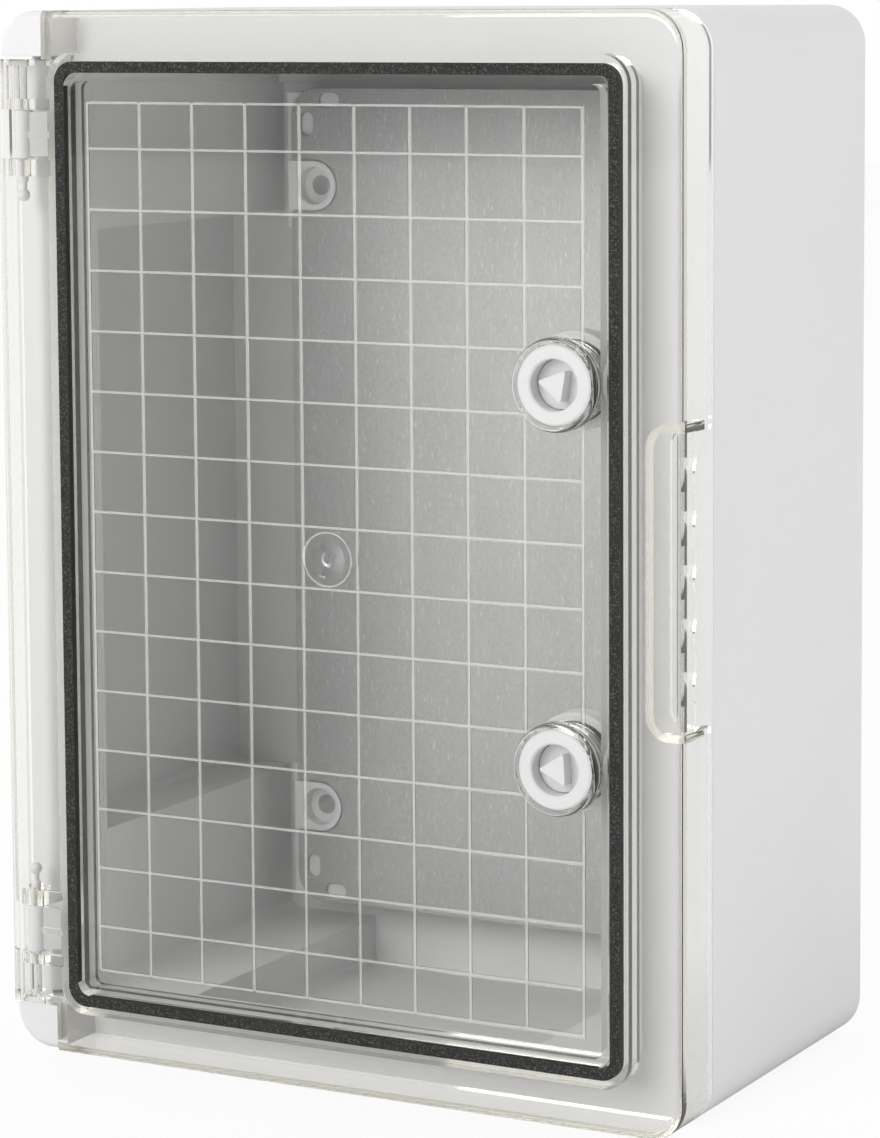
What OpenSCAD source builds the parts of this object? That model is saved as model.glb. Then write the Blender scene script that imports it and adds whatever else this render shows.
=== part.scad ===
// Wall cabinet of moulded plastic with a clear hinged door and two quarter-turn locks.
// X runs right, Y runs towards the wall, Z runs up, all in millimetres.
// The origin is the centre of the wall hole pattern on the back face.

/* [Cabinet] */
// overall width
cab_w = 250; // [220:1:320]
// overall height
cab_h = 350; // [320:1:460]
// depth from the wall to the front of the door plate
cab_d = 150; // [120:1:220]
// radius of the four long corners
corner_r = 13; // [10:0.5:18]
// radius round the back face
back_r = 6; // [3:0.5:6]

/* [Base shell] */
// thickness of the side walls at the pockets
wall_t = 3; // [2:0.1:4]
// thickness of the back wall
back_t = 2.5; // [2:0.1:4]
// width of the flange from the outside to the neck opening, at the sides
neck_in_x = 25; // [24:0.5:30]
// width of the flange from the outside to the neck opening, at top and bottom
neck_in_z = 19.5; // [19:0.5:24]
// depth of the flange front behind the door front
flange_front = 22; // [21:0.5:26]
// thickness of the flange
flange_t = 2; // [1.5:0.1:3]
// thickness of the sealing rim
rim_t = 1.2; // [1:0.1:1.5]
// distance of the side wall pockets from the top and the bottom
side_pocket_in = 73; // [71:1:80]
// distance of the top and bottom wall pockets from the sides
end_pocket_in = 60; // [59:1:70]
// wall round the hollow corner columns
column_wall = 3; // [2:0.1:3.5]
// depth of the hinge side corner horns behind the door front
horn_front = 3; // [2:0.5:6]

/* [Wall fixing] */
// distance of the wall holes from the sides
wall_hole_in_x = 49; // [47:0.5:52]
// distance of the wall holes from the top and the bottom
wall_hole_in_z = 63; // [61:0.5:65]
// wall hole diameter
wall_hole_d = 7; // [5:0.1:8]
// counterbore diameter for the screw head
bore_d = 13.4; // [12:0.1:14.5]
// counterbore depth
bore_depth = 5; // [3:0.5:8]
// boss diameter
boss_d = 17.5; // [16.5:0.1:18.5]

/* [Mounting plate] */
// distance of the plate from the sides
plate_in_x = 40; // [37:0.5:42]
// distance of the plate from the top and the bottom
plate_in_z = 28.5; // [26:0.5:31]
// sheet thickness
plate_t = 1.5; // [1:0.1:2]
// distance from the wall to the front of the plate
plate_off = 23; // [18:0.5:30]
// corner radius of the sheet
plate_r = 10; // [6:0.5:12]
// gap between the plate and a boss
notch_gap = 0.6; // [0.4:0.1:1]
// length of a corner slot
slot_len = 8.5; // [6:0.5:10]
// width of a corner slot
slot_w = 5.3; // [4:0.1:6]
// distance of the upright slot from the plate edge
slot_in_x = 6.3; // [5:0.1:8]
// distance of the level slot from the plate edge
slot_in_z = 4.2; // [4:0.1:6]
// width of a pad behind a plate corner
pad_w = 25; // [20:0.5:30]
// reach of a pad past the wall hole towards mid-height
pad_low = 15; // [12:0.5:20]

/* [Door] */
// thickness of the clear plate
door_t = 3; // [2.5:0.1:3.5]
// depth of the side lip
lip_depth = 20; // [18:0.5:20.5]
// thickness of the side lip
lip_t = 2.5; // [2:0.1:3]
// radius of the front edge
edge_r = 2.5; // [1.5:0.1:3]
// width of the strip left of the sealing channel on the hinge side
strip_w = 18.5; // [18:0.1:19.5]
// height of the notch above and below the hinge strip
notch_h = 16; // [14:0.5:17]
// distance of the window from the sides
window_in_x = 28.8; // [28.4:0.1:29.4]
// distance of the window from the top and the bottom
window_in_z = 23.05; // [22.8:0.05:23.5]
// corner radius of the sealing channel
channel_r = 6.6; // [6:0.1:9]
// thickness of the inner rib of the channel
rib_in = 2.8; // [2.4:0.1:3]
// thickness of the outer rib of the channel
rib_out = 2.9; // [2.4:0.1:3.2]
// depth of both ribs behind the door front
rib_depth = 11; // [10:0.5:13]
// width of the gasket
gasket_w = 3.6; // [3.3:0.1:3.9]
// thickness of the gasket
gasket_t = 5.7; // [5:0.1:6]
// gap between the gasket and the sealing rim
gasket_gap = 0.3; // [0.2:0.1:0.5]
// pitch of the cut-out grid
grid_pitch = 20; // [18:0.5:20]
// width of a grid line
grid_line = 1.2; // [0.8:0.1:1.6]
// height of a grid line
grid_h = 0.4; // [0.2:0.1:0.6]
// diameter of the moulding dimple
gate_d = 18; // [14:0.5:18.5]
// depth of the gate recess
gate_floor = 0.4; // [0.2:0.1:0.8]
// depth of the dish in the gate recess
gate_dip = 0.7; // [0.3:0.1:1]

/* [Finger grip] */
// half length of the grip
grip_half = 46.5; // [42:0.5:48]
// width of the grip pocket from the outside
grip_w = 11; // [9:0.5:11]
// lip that stays over the grip
grip_lip = 9.5; // [8:0.5:11]
// depth of the grip pocket wall
grip_wall_depth = 17; // [14:0.5:19]
// thickness of the grip pocket wall
grip_wall = 2.7; // [2:0.1:3]
// corner radius of the grip pocket
grip_r = 8; // [5:0.5:9]
// radius of one finger wave
wave_r = 10; // [9:0.5:11]
// depth of one finger wave
wave_cut = 1.5; // [1:0.1:2]

/* [Hinge] */
// radius of the hinge strip round its axis
hinge_r = 7; // [6.5:0.1:7]
// outer corner radius of the hinge strip
curl_r = 3.3; // [2.8:0.1:4]
// reach of the hinge strip behind its axis
curl_back = 4; // [2:0.5:4.5]
// width of the ledge behind the hinge strip
ledge_w = 9.5; // [8:0.5:10]
// edge radius of the ledge
ledge_r = 4; // [2:0.5:5]
// distance of the middle of a hinge from the top or the bottom
hinge_in = 40.75; // [39:0.25:45]
// knuckle diameter
knuckle_d = 7.1; // [6.4:0.1:7.4]
// knuckle length
knuckle_len = 15.9; // [14:0.1:17]
// pin diameter
pin_d = 3.3; // [2.8:0.1:3.6]
// running clearance of the pin in the door
pin_gap = 0.08; // [0.03:0.01:0.1]
// gap between a knuckle and a door bracket
bracket_gap = 0.3; // [0.2:0.1:0.6]
// thickness of the bracket at the tail of the pin
bracket_tail = 5.5; // [4:0.1:6]
// thickness of the bracket at the head of the pin
bracket_head = 3.5; // [3:0.1:4]

/* [Lock] */
// distance of the locks from the right side
lock_in = 42; // [42:0.5:46]
// distance of the locks from mid-height
lock_z = 60; // [56:0.5:70]
// clear collar diameter
collar_d = 29.6; // [28.5:0.1:31]
// edge radius of the collar
collar_r = 1.2; // [0.5:0.1:1.5]
// height of the collar over the door front
collar_h = 4.2; // [3.5:0.1:5]
// diameter of the white lock face
face_d = 25.2; // [24:0.1:26]
// clearance of the lock face in its collar
face_gap = 0.3; // [0.2:0.05:0.5]
// diameter of the key socket
socket_d = 16.2; // [15:0.1:16.6]
// depth of the key socket below the lock face
socket_depth = 7; // [6:0.5:8]
// side of the triangular drive
drive_side = 10.4; // [8:0.1:11]
// rest angle of the upper drive
drive_turn = 10; // [-15:1:15]
// rest angle of the lower drive
drive_turn_low = -3; // [-15:1:15]
// diameter of the lock stem through the door
stem_d = 18; // [17:0.1:19]
// diameter of the clear boss behind the door
lock_boss_d = 25; // [23:0.1:26]
// depth of the end of the lock boss
lock_boss_depth = 11; // [9:0.5:12]
// pitch of the ribs of the lock boss
lock_boss_pitch = 1.8; // [1.4:0.1:2]
// diameter of the flat seal under the nut
seal_d = 26.2; // [26:0.1:26.3]
// thickness of the flat seal
seal_t = 1; // [0.8:0.1:1.5]
// diameter of the ring nut
nut_d = 31.4; // [28:0.1:31.6]
// clear border of the grid round the boss
nut_gap = 0.5; // [0.3:0.1:1]
// length of the ring nut
nut_len = 9; // [6:0.5:10]
// diameter of the turning shaft
shaft_d = 10; // [9:0.1:11]
// running clearance of the shaft
shaft_gap = 0.05; // [0.03:0.01:0.08]
// length of the cam from the lock axis to its tip
cam_reach = 21; // [20:0.5:24]
// width of the cam
cam_w = 14; // [12:0.5:15]
// thickness of the cam
cam_t = 3.5; // [3:0.1:4.5]
// gap between the cam and the back of the flange
cam_gap = 0.6; // [0.4:0.1:1]
// width of the square that carries the cam
square_w = 7; // [6:0.1:7]
// diameter of the cam washer
washer_d = 11.5; // [10:0.1:13]
// length of the screw in the spindle
shank_len = 8; // [6:0.5:10]
// distance of the spindle groove from the socket floor
groove_in = 8; // [6:0.5:12]
// width of the spindle groove
groove_w = 1.4; // [1.2:0.1:1.6]

/* [Hidden] */
$fn = 64;
hw = cab_w / 2;
hh = cab_h / 2;
eps = 0.5;
side_pocket = hh - side_pocket_in;
end_pocket = hw - end_pocket_in;
wall_hole_x = cab_w - 2 * wall_hole_in_x;
wall_hole_z = cab_h - 2 * wall_hole_in_z;
plate_w = cab_w - 2 * plate_in_x;
plate_h = cab_h - 2 * plate_in_z;
window_x = hw - window_in_x;
window_z = hh - window_in_z;
hinge_z = hh - hinge_in;
lock_x = hw - lock_in;
neck_x = hw - neck_in_x;
neck_z = hh - neck_in_z;
flange_rear = flange_front + flange_t;
channel_in_x = window_x + rib_in;
channel_in_z = window_z + rib_in;
channel_out_x = channel_in_x + gasket_w;
channel_out_z = channel_in_z + gasket_w;
rim_x = (channel_in_x + channel_out_x) / 2;
rim_z = (channel_in_z + channel_out_z) / 2;
rim_tip = door_t + gasket_t + gasket_gap;
axis_x = -hw + hinge_r;
axis_y = hinge_r - cab_d;
strip_x = -hw + strip_w;
strip_z = hh - notch_h;
pad_z1 = plate_h / 2 - plate_t;
pad_z0 = wall_hole_z / 2 - pad_low;
pad_x1 = plate_w / 2 + back_t;
pad_x0 = pad_x1 - pad_w;
column_out_x = hw - back_r - 1.5;
column_out_z = hh - back_r - 1.5;
stem_end = flange_rear + cam_gap - 0.1;
cam_front = flange_rear + cam_gap;
cam_rear = cam_front + cam_t;
shank_d = 3;
washer_t = 1;
socket_floor = socket_depth - collar_h;
drive_low = 0.6;
disc_t = 1.6;
curl_t = 2.5;
post_in = 0.6 * hinge_r;
post_out = strip_w - hinge_r - 2;
grid_cols = floor(2 * window_x / grid_pitch);
grid_rows = floor((2 * window_z - 1.5 * grid_pitch) / grid_pitch);
grid_end = 0.75 * grid_pitch;

// Y position of a depth behind the door front
function at(depth) = depth - cab_d;

// a flat shape in X and Z, made solid between two Y positions
module along_y(y0, y1) {
  translate([0, y1, 0])
    rotate([90, 0, 0])
      linear_extrude(y1 - y0)
        children();
}

// a profile of radius and Y position, turned round an axis along Y
module turned(x, z) {
  translate([x, 0, z])
    rotate([-90, 0, 0])
      rotate_extrude()
        children();
}

// rounded rectangle between two corners
module round_box(x0, x1, z0, z1, r) {
  translate([x0 + r, z0])
    square([x1 - x0 - 2 * r, z1 - z0]);
  translate([x0, z0 + r])
    square([x1 - x0, z1 - z0 - 2 * r]);
  for (x = [x0 + r, x1 - r])
    for (z = [z0 + r, z1 - r])
      translate([x, z])
        circle(r);
}

// rounded rectangle about the middle
module round_mid(x, z, r) {
  round_box(-x, x, -z, z, r);
}

// quarter of a disc, the section of a soft edge
module quarter(r) {
  intersection() {
    circle(r);
    square(r);
  }
}

// soft edge of radius r round a rounded rectangle, lying on Y = 0 and rising to Y = r
module soft_edge(x, z, big_r, r) {
  along_y(0, r)
    round_mid(x - r, z - r, big_r - r);
  for (s = [0, 1]) {
    mirror([0, 0, s])
      translate([-x + big_r, 0, z - r])
        rotate([90, 0, 90])
          linear_extrude(2 * (x - big_r))
            quarter(r);
    mirror([s, 0, 0])
      translate([x - r, 0, -z + big_r])
        linear_extrude(2 * (z - big_r))
          quarter(r);
    for (t = [0, 1])
      mirror([s, 0, 0])
        mirror([0, 0, t])
          translate([x - big_r, 0, z - big_r])
            rotate([-90, -90, 0])
              rotate_extrude(angle = 90)
                translate([big_r - r, 0])
                  quarter(r);
  }
}

// rounded block whose face at y_soft has a soft edge of radius r
module soft_block(x, z, big_r, r, y_soft, y_flat) {
  back = y_soft > y_flat;
  roll = back ? y_soft - r : y_soft + r;
  along_y(min(roll, y_flat), max(roll, y_flat))
    round_mid(x, z, big_r);
  translate([0, roll, 0])
    mirror([0, back ? 0 : 1, 0])
      soft_edge(x, z, big_r, r);
}

// copies on the four corners
module four() {
  for (sx = [0, 1])
    for (sz = [0, 1])
      mirror([sx, 0, 0])
        mirror([0, 0, sz])
          children();
}

// copies at the upper and the lower end
module both_ends() {
  for (sz = [0, 1])
    mirror([0, 0, sz])
      children();
}

// a plan shape round the hinge axis, between two heights
module at_hinge(z0, z1) {
  translate([axis_x, axis_y, z0])
    linear_extrude(z1 - z0)
      children();
}

module base_outside() {
  soft_block(hw, hh, corner_r, back_r, 0, at(flange_front));
  // ledge behind the hinge strip
  at_hinge(-strip_z + 0.5, strip_z - 0.5) {
    y0 = hinge_r + 2;
    y1 = flange_front - hinge_r + eps;
    x1 = ledge_w - hinge_r;
    translate([-hinge_r, y0])
      square([ledge_w - ledge_r, y1 - y0]);
    translate([-hinge_r, y0 + ledge_r])
      square([ledge_w, y1 - y0 - ledge_r]);
    translate([x1 - ledge_r, y0 + ledge_r])
      circle(ledge_r);
  }
  // corner horns beside the hinge strip
  intersection() {
    soft_block(hw, hh, corner_r, edge_r, at(horn_front), at(flange_front + eps));
    both_ends()
      translate([-hw - 1, at(0), strip_z + 1])
        cube([strip_w - 0.5, cab_d, notch_h]);
  }
}

// cavity: neck with tub, and the pockets in the four walls
module base_inside() {
  along_y(at(flange_front) - 1, -back_t)
    round_mid(neck_x, neck_z, 4);
  along_y(at(flange_rear), -back_t)
    round_mid(hw - wall_t, side_pocket, 3);
  along_y(at(flange_rear), -back_t)
    round_mid(end_pocket, hh - wall_t, 3);
}

// hollow of one corner column, open at the back, in three cells
module column_core() {
  xi = neck_x + column_wall;
  zi = neck_z + column_wall;
  z_rib = (side_pocket + column_wall + column_out_z) / 2;
  along_y(at(flange_rear + column_wall), 1) {
    round_box(xi, column_out_x, side_pocket + column_wall, z_rib - 1, 2);
    round_box(xi, column_out_x, z_rib + 1, column_out_z, 2);
    round_box(end_pocket + column_wall, xi - 2, zi, column_out_z, 2);
  }
}

module fixing_boss() {
  // pad behind the plate corner
  translate([pad_x0, -plate_off + plate_t, pad_z0])
    cube([pad_x1 - pad_x0, plate_off - plate_t - back_t + eps, pad_z1 - pad_z0]);
  // boss through the notch of the plate
  translate([wall_hole_x / 2, 0, wall_hole_z / 2]) {
    along_y(-plate_off, -back_t + eps)
      circle(d = boss_d);
    along_y(-plate_off, -back_t + eps)
      translate([0, -boss_d / 2])
        square([pad_x1 - 1 - wall_hole_x / 2, boss_d]);
  }
}

module fixing_hole() {
  translate([wall_hole_x / 2, 0, wall_hole_z / 2]) {
    along_y(-cab_d, 1)
      circle(d = wall_hole_d);
    along_y(-cab_d, -plate_off + bore_depth)
      circle(d = bore_d);
  }
  // hollow of the pad, open at the back
  along_y(-plate_off + plate_t + 3, 1)
    round_box(pad_x0 + 3, pad_x1 - 3, (wall_hole_z + boss_d) / 2 + 2, pad_z1 - 3, 2);
}

// post and knuckle of one hinge, upper end
module knuckle() {
  at_hinge(hinge_z - knuckle_len / 2, hinge_z + knuckle_len / 2)
    circle(d = knuckle_d);
  at_hinge(hinge_z - knuckle_len / 2 + 0.5, hinge_z + knuckle_len / 2 - 0.5)
    polygon([
      [0, -0.2 * knuckle_d], [0.48 * knuckle_d, -0.15 * knuckle_d], [post_out, 0.4 * knuckle_d],
      [post_out, flange_front - hinge_r + eps], [post_in, flange_front - hinge_r + eps],
      [post_in, 0.85 * hinge_r], [0.37 * knuckle_d, 0.33 * knuckle_d], [0, 0]
    ]);
}

module base_shell() {
  color([0.9, 0.9, 0.88])
    difference() {
      union() {
        difference() {
          base_outside();
          base_inside();
        }
        // sealing rim
        along_y(at(rim_tip), at(flange_rear))
          difference() {
            round_mid(rim_x + rim_t / 2, rim_z + rim_t / 2, channel_r - 1);
            round_mid(rim_x - rim_t / 2, rim_z - rim_t / 2, channel_r - 1 - rim_t);
          }
        four()
          fixing_boss();
        both_ends()
          knuckle();
      }
      four() {
        fixing_hole();
        column_core();
      }
      both_ends()
        at_hinge(hinge_z - knuckle_len, hinge_z + knuckle_len)
          circle(d = pin_d);
    }
}

// slot with round ends, along X or along Z
module slot(x, z, w, h) {
  r = min(w, h) / 2;
  for (s = [-1, 1])
    translate([x + s * (w / 2 - r), z + s * (h / 2 - r)])
      circle(r);
  translate([x - w / 2 + (w > h ? r : 0), z - h / 2 + (w > h ? 0 : r)])
    square([w > h ? w - 2 * r : w, w > h ? h : h - 2 * r]);
}

module mounting_plate() {
  notch_r = boss_d / 2 + notch_gap;
  color([0.66, 0.67, 0.68])
    along_y(-plate_off, -plate_off + plate_t)
      difference() {
        round_mid(plate_w / 2, plate_h / 2, plate_r);
        for (sx = [0, 1])
          for (sz = [0, 1])
            mirror([sx, 0])
              mirror([0, sz]) {
                translate([wall_hole_x / 2, wall_hole_z / 2])
                  circle(notch_r);
                translate([wall_hole_x / 2, wall_hole_z / 2 - notch_r])
                  square([plate_w, 2 * notch_r]);
                slot(plate_w / 2 - slot_in_x, plate_h / 2 - plate_r - slot_w / 2, slot_w, slot_len);
                slot(plate_w / 2 - plate_r - slot_w, plate_h / 2 - slot_in_z, slot_len, slot_w);
              }
      }
}

// plan of the clear hinge strip: its front turns back round the axis
module curl_plan() {
  in = hinge_r - curl_t;
  difference() {
    round_box(-hinge_r, hinge_r, -hinge_r, 2 * hinge_r, curl_r);
    round_box(-in, 2 * hinge_r, -in, 3 * hinge_r, curl_r - curl_t);
    translate([0, -2 * hinge_r])
      square([2 * hinge_r, 5 * hinge_r]);
    translate([-2 * hinge_r, curl_back])
      square([4 * hinge_r, 2 * hinge_r]);
  }
}

// plan of a bracket that fills the strip and carries the pin
module bracket_plan(r) {
  circle(r);
  translate([0, -hinge_r + 0.5])
    square([strip_w - hinge_r + 1, hinge_r - 2]);
}

module hinge_strip() {
  z_tail = hinge_z - knuckle_len / 2 - bracket_gap;
  z_head = hinge_z + knuckle_len / 2 + bracket_gap;
  translate([axis_x, at(0), -strip_z])
    cube([strip_x - axis_x + 1, door_t, 2 * strip_z]);
  difference() {
    at_hinge(-strip_z, strip_z)
      curl_plan();
    both_ends()
      translate([axis_x - 2 * hinge_r, axis_y, z_tail])
        cube([2 * hinge_r, 2 * hinge_r, z_head - z_tail]);
  }
  both_ends() {
    difference() {
      union() {
        at_hinge(z_tail - bracket_tail, z_tail)
          bracket_plan(hinge_r - 2);
        at_hinge(z_head, z_head + bracket_head)
          bracket_plan(hinge_r - 2);
      }
      at_hinge(0, cab_h)
        circle(pin_d / 2 + pin_gap);
    }
    at_hinge(strip_z - 2, strip_z)
      bracket_plan(hinge_r - 2);
    // small ribs beside the head of the pin
    for (x = [-3, 0, 3])
      translate([axis_x + x - 0.4, at(door_t) - 0.2, z_head])
        cube([0.8, hinge_r - door_t - pin_d / 2 - 0.2, strip_z - z_head - 1]);
    // tongue in front of the knuckle
    translate([axis_x + knuckle_d / 2 + 1, at(door_t) - 0.2, hinge_z - 1])
      cube([strip_x - axis_x - knuckle_d / 2, 1.8, 2]);
  }
}

// raised lines of the cut-out grid on the back of the plate
module grid() {
  half_x = grid_cols * grid_pitch / 2;
  half_z = grid_rows * grid_pitch / 2 + grid_end;
  along_y(at(door_t) - 0.2, at(door_t) + grid_h)
    difference() {
      union() {
        for (i = [0 : grid_cols])
          translate([-half_x + i * grid_pitch - grid_line / 2, -half_z - grid_line / 2])
            square([grid_line, 2 * half_z + grid_line]);
        for (j = [0 : grid_rows])
          translate([-half_x, (j - grid_rows / 2) * grid_pitch - grid_line / 2])
            square([2 * half_x, grid_line]);
        for (s = [-1, 1])
          translate([-half_x, s * half_z - grid_line / 2])
            square([2 * half_x, grid_line]);
      }
      for (s = [-1, 1])
        translate([lock_x, s * lock_z])
          circle(d = lock_boss_d + lock_boss_pitch / 2 + 2 * nut_gap);
    }
}

// grip: pocket wall behind the plate on the right edge
module grip_pocket() {
  x0 = hw - grip_w;
  far = hw + 4 * grip_r;
  intersection() {
    along_y(at(door_t) - 0.2, at(grip_wall_depth))
      difference() {
        round_box(x0 - grip_wall, far, -grip_half - grip_wall, grip_half + grip_wall, grip_r);
        round_box(x0, far + 1, -grip_half, grip_half, grip_r - grip_wall);
      }
    translate([0, -cab_d, -hh])
      cube([hw - lip_t + 0.3, cab_d, cab_h]);
  }
}

// what is cut from the lip over the grip
module grip_cut() {
  pitch = 2 * grip_half / 5.6;
  translate([hw - lip_t - 0.4, at(grip_lip), -grip_half])
    cube([lip_t + 2, lip_depth, 2 * grip_half]);
  for (i = [-2 : 2])
    translate([hw - lip_t - 0.4, at(grip_lip - wave_cut + wave_r), i * pitch])
      rotate([0, 90, 0])
        cylinder(h = lip_t + 2, r = wave_r);
}

module door_lock_collar() {
  r_in = face_d / 2 + face_gap;
  r_out = collar_d / 2;
  top = at(-collar_h);
  turned(lock_x, lock_z) {
    translate([r_in, top])
      square([r_out - collar_r - r_in, collar_h + 0.5]);
    translate([r_in, top + collar_r])
      square([r_out - r_in, collar_h + 0.5 - collar_r]);
    translate([r_out - collar_r, top + collar_r])
      intersection() {
        circle(collar_r);
        translate([0, -collar_r])
          square([collar_r, collar_r]);
      }
  }
}

// ribbed boss behind the door that the ring nut clamps
module door_lock_boss() {
  along_y(at(door_t) - 0.2, at(lock_boss_depth))
    translate([lock_x, lock_z])
      circle(d = lock_boss_d);
  for (i = [1 : 3])
    along_y(at(door_t + i * lock_boss_pitch), at(door_t + i * lock_boss_pitch + lock_boss_pitch / 2))
      translate([lock_x, lock_z])
        circle(d = lock_boss_d + lock_boss_pitch / 2);
}

// shallow recess with a dish, left by the moulding gate
module gate_mark() {
  dish = 0.7 * gate_d;
  ball = (dish * dish / 4 + gate_dip * gate_dip) / (2 * gate_dip);
  along_y(at(-1), at(gate_floor))
    circle(d = gate_d);
  translate([0, at(gate_floor + gate_dip) - ball, 0])
    sphere(ball, $fn = 96);
}

module door_panel() {
  color([0.85, 0.88, 0.86, 0.35])
    union() {
      difference() {
        union() {
          difference() {
            soft_block(hw, hh, corner_r, edge_r, at(0), at(lip_depth));
            along_y(at(door_t), at(lip_depth) + 1)
              round_mid(hw - lip_t, hh - lip_t, corner_r - lip_t);
            translate([-hw - 1, at(0) - 1, -hh - 1])
              cube([strip_w + 1, lip_depth + 2, cab_h + 2]);
            grip_cut();
          }
          both_ends() {
            door_lock_collar();
            door_lock_boss();
          }
        }
        gate_mark();
        both_ends()
          along_y(at(-1), at(lock_boss_depth) + 1)
            translate([lock_x, lock_z])
              circle(d = stem_d + 0.4);
      }
      turned(0, 0)
        polygon([
          [0, at(gate_floor / 2)], [0.07 * gate_d, at(gate_floor / 2)],
          [0.17 * gate_d, at(gate_floor + gate_dip + 0.2)], [0, at(gate_floor + gate_dip + 0.2)]
        ]);
      // sealing channel
      along_y(at(door_t) - 0.2, at(rib_depth)) {
        difference() {
          round_mid(channel_in_x, channel_in_z, channel_r - gasket_w + 2);
          round_mid(window_x, window_z, channel_r - gasket_w);
        }
        difference() {
          round_mid(channel_out_x + rib_out, channel_out_z + rib_out, channel_r + rib_out);
          round_mid(channel_out_x, channel_out_z, channel_r);
        }
      }
      // end walls beside the horns
      both_ends()
        translate([strip_x, at(edge_r), channel_out_z])
          cube([rib_out, lip_depth - edge_r, hh - channel_out_z - lip_t + 0.3]);
      hinge_strip();
      grid();
      grip_pocket();
    }
}

module door_gasket() {
  color([0.12, 0.12, 0.13])
    along_y(at(door_t), at(door_t + gasket_t))
      difference() {
        round_mid(channel_out_x, channel_out_z, channel_r);
        round_mid(channel_in_x, channel_in_z, channel_r - gasket_w + 2);
      }
}

// hinge pin, upper end: head outwards, ball end towards mid-height
module hinge_pin() {
  z_tail = hinge_z - knuckle_len / 2 - bracket_gap - bracket_tail;
  z_end = strip_z - 2.5;
  translate([axis_x, axis_y, 0])
    rotate_extrude()
      polygon([
        [0, z_tail - 6], [pin_d / 2 - 0.5, z_tail - 6], [pin_d / 2 - 0.5, z_tail - 2.5],
        [pin_d / 2, z_tail - 1.5], [pin_d / 2, z_end - 0.5], [pin_d / 2 - 0.5, z_end], [0, z_end]
      ]);
  translate([axis_x, axis_y, z_tail - 6.5])
    sphere(d = pin_d + 0.9);
}

// lock parts are drawn at the upper lock
module lock_housing() {
  r_face = face_d / 2;
  r_sock = socket_d / 2;
  r_stem = stem_d / 2;
  r_bore = shaft_d / 2 + shaft_gap;
  top = at(-collar_h);
  color([0.95, 0.95, 0.95])
    turned(lock_x, lock_z)
      polygon([
        [r_sock + 0.5, top], [r_face - 0.6, top], [r_face, top + 0.6], [r_face, at(0)],
        [r_stem, at(0)], [r_stem, at(stem_end)], [r_bore, at(stem_end)],
        [r_bore, at(socket_floor)], [r_sock, at(socket_floor)], [r_sock, top + 0.5]
      ]);
}

module lock_seal() {
  color([0.15, 0.15, 0.16])
    along_y(at(lock_boss_depth), at(lock_boss_depth + seal_t))
      translate([lock_x, lock_z])
        difference() {
          circle(d = seal_d);
          circle(d = stem_d);
        }
}

module lock_nut() {
  r = nut_d / 2;
  y0 = at(lock_boss_depth + seal_t);
  y1 = y0 + nut_len;
  color([0.93, 0.93, 0.92])
    turned(lock_x, lock_z)
      polygon([
        [stem_d / 2, y0], [r - 0.5, y0], [r, y0 + 0.5], [r, y1 - 1], [r - 1, y1], [stem_d / 2, y1]
      ]);
}

module lock_spindle(turn) {
  r = shaft_d / 2;
  groove = at(socket_floor + groove_in);
  color([0.95, 0.95, 0.94])
    difference() {
      union() {
        turned(lock_x, lock_z)
          polygon([
            [0, at(socket_floor - disc_t)], [socket_d / 2 - 0.2, at(socket_floor - disc_t)],
            [socket_d / 2 - 0.2, at(socket_floor) - 0.04], [r, at(socket_floor) - 0.04],
            [r, groove], [r - 1.2, groove], [r - 1.2, groove + groove_w], [r, groove + groove_w],
            [r, at(cam_front)], [0, at(cam_front)]
          ]);
        translate([lock_x, 0, lock_z])
          along_y(at(-collar_h + drive_low), at(socket_floor - disc_t + 0.2))
            rotate(180 - turn)
              difference() {
                circle(drive_side / sqrt(3), $fn = 3);
                for (a = [0, 120, 240])
                  rotate(a)
                    translate([drive_side / sqrt(3) - 0.6, -2])
                      square([2, 4]);
              }
        translate([lock_x - square_w / 2, at(cam_front) - 0.2, lock_z - square_w / 2])
          cube([square_w, cam_t + 0.1, square_w]);
      }
      along_y(at(cam_front - shank_len - 1), 0)
        translate([lock_x, lock_z])
          circle(d = shank_d + 0.04);
    }
}

module lock_ring() {
  color([0.1, 0.1, 0.1])
    turned(lock_x, lock_z)
      translate([shaft_d / 2 - 0.58, at(socket_floor + groove_in + groove_w / 2)])
        circle(0.58, $fn = 32);
}

module lock_cam() {
  r = cam_w / 2;
  color([0.93, 0.93, 0.92])
    translate([lock_x, 0, lock_z])
      along_y(at(cam_front), at(cam_rear))
        difference() {
          union() {
            circle(r);
            translate([r - cam_reach, -r])
              square([cam_reach - r, cam_w]);
            translate([r - cam_reach, 0])
              circle(r);
          }
          square([square_w, square_w], center = true);
        }
}

module lock_washer() {
  color([0.75, 0.75, 0.76])
    along_y(at(cam_rear), at(cam_rear + washer_t))
      translate([lock_x, lock_z])
        difference() {
          circle(d = washer_d);
          circle(d = shank_d + 0.2);
        }
}

module lock_screw() {
  head = cam_rear + washer_t;
  color([0.75, 0.75, 0.76])
    difference() {
      turned(lock_x, lock_z)
        polygon([
          [0, at(cam_front - shank_len)], [shank_d / 2, at(cam_front - shank_len)], [shank_d / 2, at(head)],
          [3.6, at(head)], [3.6, at(head + 1.6)], [2.8, at(head + 2.4)], [0, at(head + 2.4)]
        ]);
      translate([lock_x, 0, lock_z]) {
        along_y(at(head + 1.2), at(head + 4))
          square([4, 0.9], center = true);
        along_y(at(head + 1.2), at(head + 4))
          square([0.9, 4], center = true);
      }
    }
}

// lower lock parts: moved down, so that both cams turn the same way
module lower() {
  translate([0, 0, -2 * lock_z])
    children();
}

module upper_hinge_pin() {
  color([0.93, 0.93, 0.92])
    hinge_pin();
}

module lower_hinge_pin() {
  color([0.93, 0.93, 0.92])
    mirror([0, 0, 1])
      hinge_pin();
}

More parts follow.
